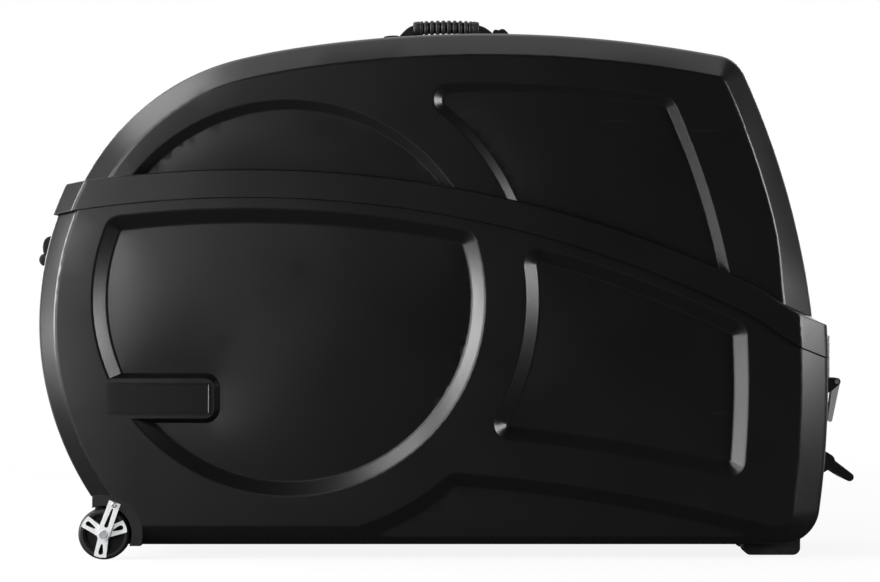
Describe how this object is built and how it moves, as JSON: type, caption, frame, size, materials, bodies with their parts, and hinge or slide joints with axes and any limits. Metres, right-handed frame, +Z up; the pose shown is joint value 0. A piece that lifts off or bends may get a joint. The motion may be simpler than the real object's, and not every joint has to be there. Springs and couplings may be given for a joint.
{
  "type": "bicycle travel case",
  "caption": "Hard-shell bicycle travel case with a round nose and a lift-off lid: wheels, feet, draw latches, top, nose and tow handles, and a carrier inside for the frame and fork.",
  "frame": {"origin": "on the floor, under the middle of the overall box", "axes": "+X along the case from the wheeled nose to the latched tail, +Y through its depth to the far side, +Z up"},
  "size_m": [1.3319, 0.368, 0.8741],
  "materials": {
    "shell_abs": "satin vacuum-formed sheet with a fine grain",
    "badge_plate": "smooth bare plate",
    "tyre": "matte solid tyre",
    "wheel_silver": "silver paint",
    "trim_plastic": "moulded black plastic",
    "rubber": "matte black rubber",
    "webbing": "black woven webbing",
    "chrome": "bright plating",
    "steel": "plain zinc-coated steel",
    "aluminium": "plain extruded bar"
  },
  "bodies": {
    "base": {"base_shell": "shell_abs", "frame_rail": "aluminium", "rail_supports": "trim_plastic", "tow_mount": "trim_plastic", "tow_pin": "steel", "housing_screws": "steel", "foot_screws": "steel", "latch_rivets": "steel", "nose_handle_screws": "steel", "tow_screws": "steel", "rail_bolts": "steel", "badge_plate_near": "badge_plate", "badge_plate_far": "badge_plate", "wheel_housing_near": "trim_plastic", "wheel_housing_far": "trim_plastic", "wheel_axle_near": "steel", "wheel_axle_far": "steel", "axle_strut_near": "wheel_silver", "axle_strut_far": "wheel_silver", "foot_near": "rubber", "foot_far": "rubber", "latch_base_near": "trim_plastic", "latch_base_far": "trim_plastic", "latch_pins_near": "steel", "latch_pins_far": "steel", "nose_bracket_near": "trim_plastic", "nose_bracket_far": "trim_plastic", "nose_pin_near": "steel", "nose_pin_far": "steel"},
    "lid": {"lid_shell": "shell_abs", "latch_strike_near": "chrome", "latch_strike_far": "chrome", "crown_bracket_nose": "trim_plastic", "crown_bracket_tail": "trim_plastic", "crown_strap_nose": "webbing", "crown_strap_tail": "webbing", "strike_rivets": "steel", "crown_handle_screws": "steel"},
    "crown_handle": {"crown_grip": "rubber"},
    "nose_handle": {"nose_grip": "rubber", "nose_strap_near": "webbing", "nose_strap_far": "webbing"},
    "wheel_near": {"tyre_near": "tyre", "wheel_core_near": "trim_plastic", "wheel_spider_near": "wheel_silver", "wheel_bush_near": "trim_plastic"},
    "wheel_far": {"tyre_far": "tyre", "wheel_core_far": "trim_plastic", "wheel_spider_far": "wheel_silver", "wheel_bush_far": "trim_plastic"},
    "latch_lever_near": {"latch_lever_near": "chrome"},
    "latch_lever_far": {"latch_lever_far": "chrome"},
    "latch_hook_near": {"latch_hook_near": "chrome"},
    "latch_hook_far": {"latch_hook_far": "chrome"},
    "tow_handle": {"tow_handle": "trim_plastic"},
    "fork_carriage": {"fork_block": "trim_plastic", "fork_skewer": "steel", "skewer_nut": "steel"},
    "skewer_lever": {"skewer_lever": "aluminium"},
    "cradle": {"frame_cradle": "trim_plastic", "cradle_pad": "rubber"}
  },
  "joints": [
    {"name": "lid_lift", "type": "slide", "parent": "base", "child": "lid", "axis": [0, 0, 1], "range_m": [0, 0.35]},
    {"name": "crown_handle_lift", "type": "slide", "parent": "lid", "child": "crown_handle", "axis": [0, 0, 1], "range_m": [0, 0.012], "deforming": ["crown_strap_nose", "crown_strap_tail"]},
    {"name": "nose_handle_swing", "type": "hinge", "parent": "base", "child": "nose_handle", "pos_m": [-0.64039, 0, 0.498], "axis": [0, 1, 0], "range_deg": [0, 70]},
    {"name": "tow_handle_swing", "type": "hinge", "parent": "base", "child": "tow_handle", "pos_m": [0.62136, 0, 0.15], "axis": [0, -1, 0], "range_deg": [-55, 125]},
    {"name": "fork_slide", "type": "slide", "parent": "base", "child": "fork_carriage", "axis": [1, 0, 0], "range_m": [-0.06, 0.06]},
    {"name": "skewer_turn", "type": "hinge", "parent": "fork_carriage", "child": "skewer_lever", "pos_m": [0.3, 0, 0.145], "axis": [0, 1, 0], "continuous": true},
    {"name": "cradle_slide", "type": "slide", "parent": "base", "child": "cradle", "axis": [1, 0, 0], "range_m": [-0.1, 0.1]},
    {"name": "wheel_spin_near", "type": "hinge", "parent": "base", "child": "wheel_near", "pos_m": [-0.543, -0.16, 0.041], "axis": [0, 1, 0], "continuous": true},
    {"name": "latch_open_near", "type": "hinge", "parent": "base", "child": "latch_lever_near", "pos_m": [0.631, -0.095, 0.281], "axis": [0, -1, 0], "range_deg": [0, 120]},
    {"name": "hook_hang_near", "type": "hinge", "parent": "latch_lever_near", "child": "latch_hook_near", "pos_m": [0.62826, -0.095, 0.27348], "axis": [0, -1, 0], "range_deg": [-120, 0]},
    {"name": "wheel_spin_far", "type": "hinge", "parent": "base", "child": "wheel_far", "pos_m": [-0.543, 0.16, 0.041], "axis": [0, 1, 0], "continuous": true},
    {"name": "latch_open_far", "type": "hinge", "parent": "base", "child": "latch_lever_far", "pos_m": [0.631, 0.095, 0.281], "axis": [0, -1, 0], "range_deg": [0, 120]},
    {"name": "hook_hang_far", "type": "hinge", "parent": "latch_lever_far", "child": "latch_hook_far", "pos_m": [0.62826, 0.095, 0.27348], "axis": [0, -1, 0], "range_deg": [-120, 0]}
  ],
  "couplings": [
    {"joint": "hook_hang_near", "follows": "latch_open_near", "ratio": -1},
    {"joint": "hook_hang_far", "follows": "latch_open_far", "ratio": -1}
  ]
}
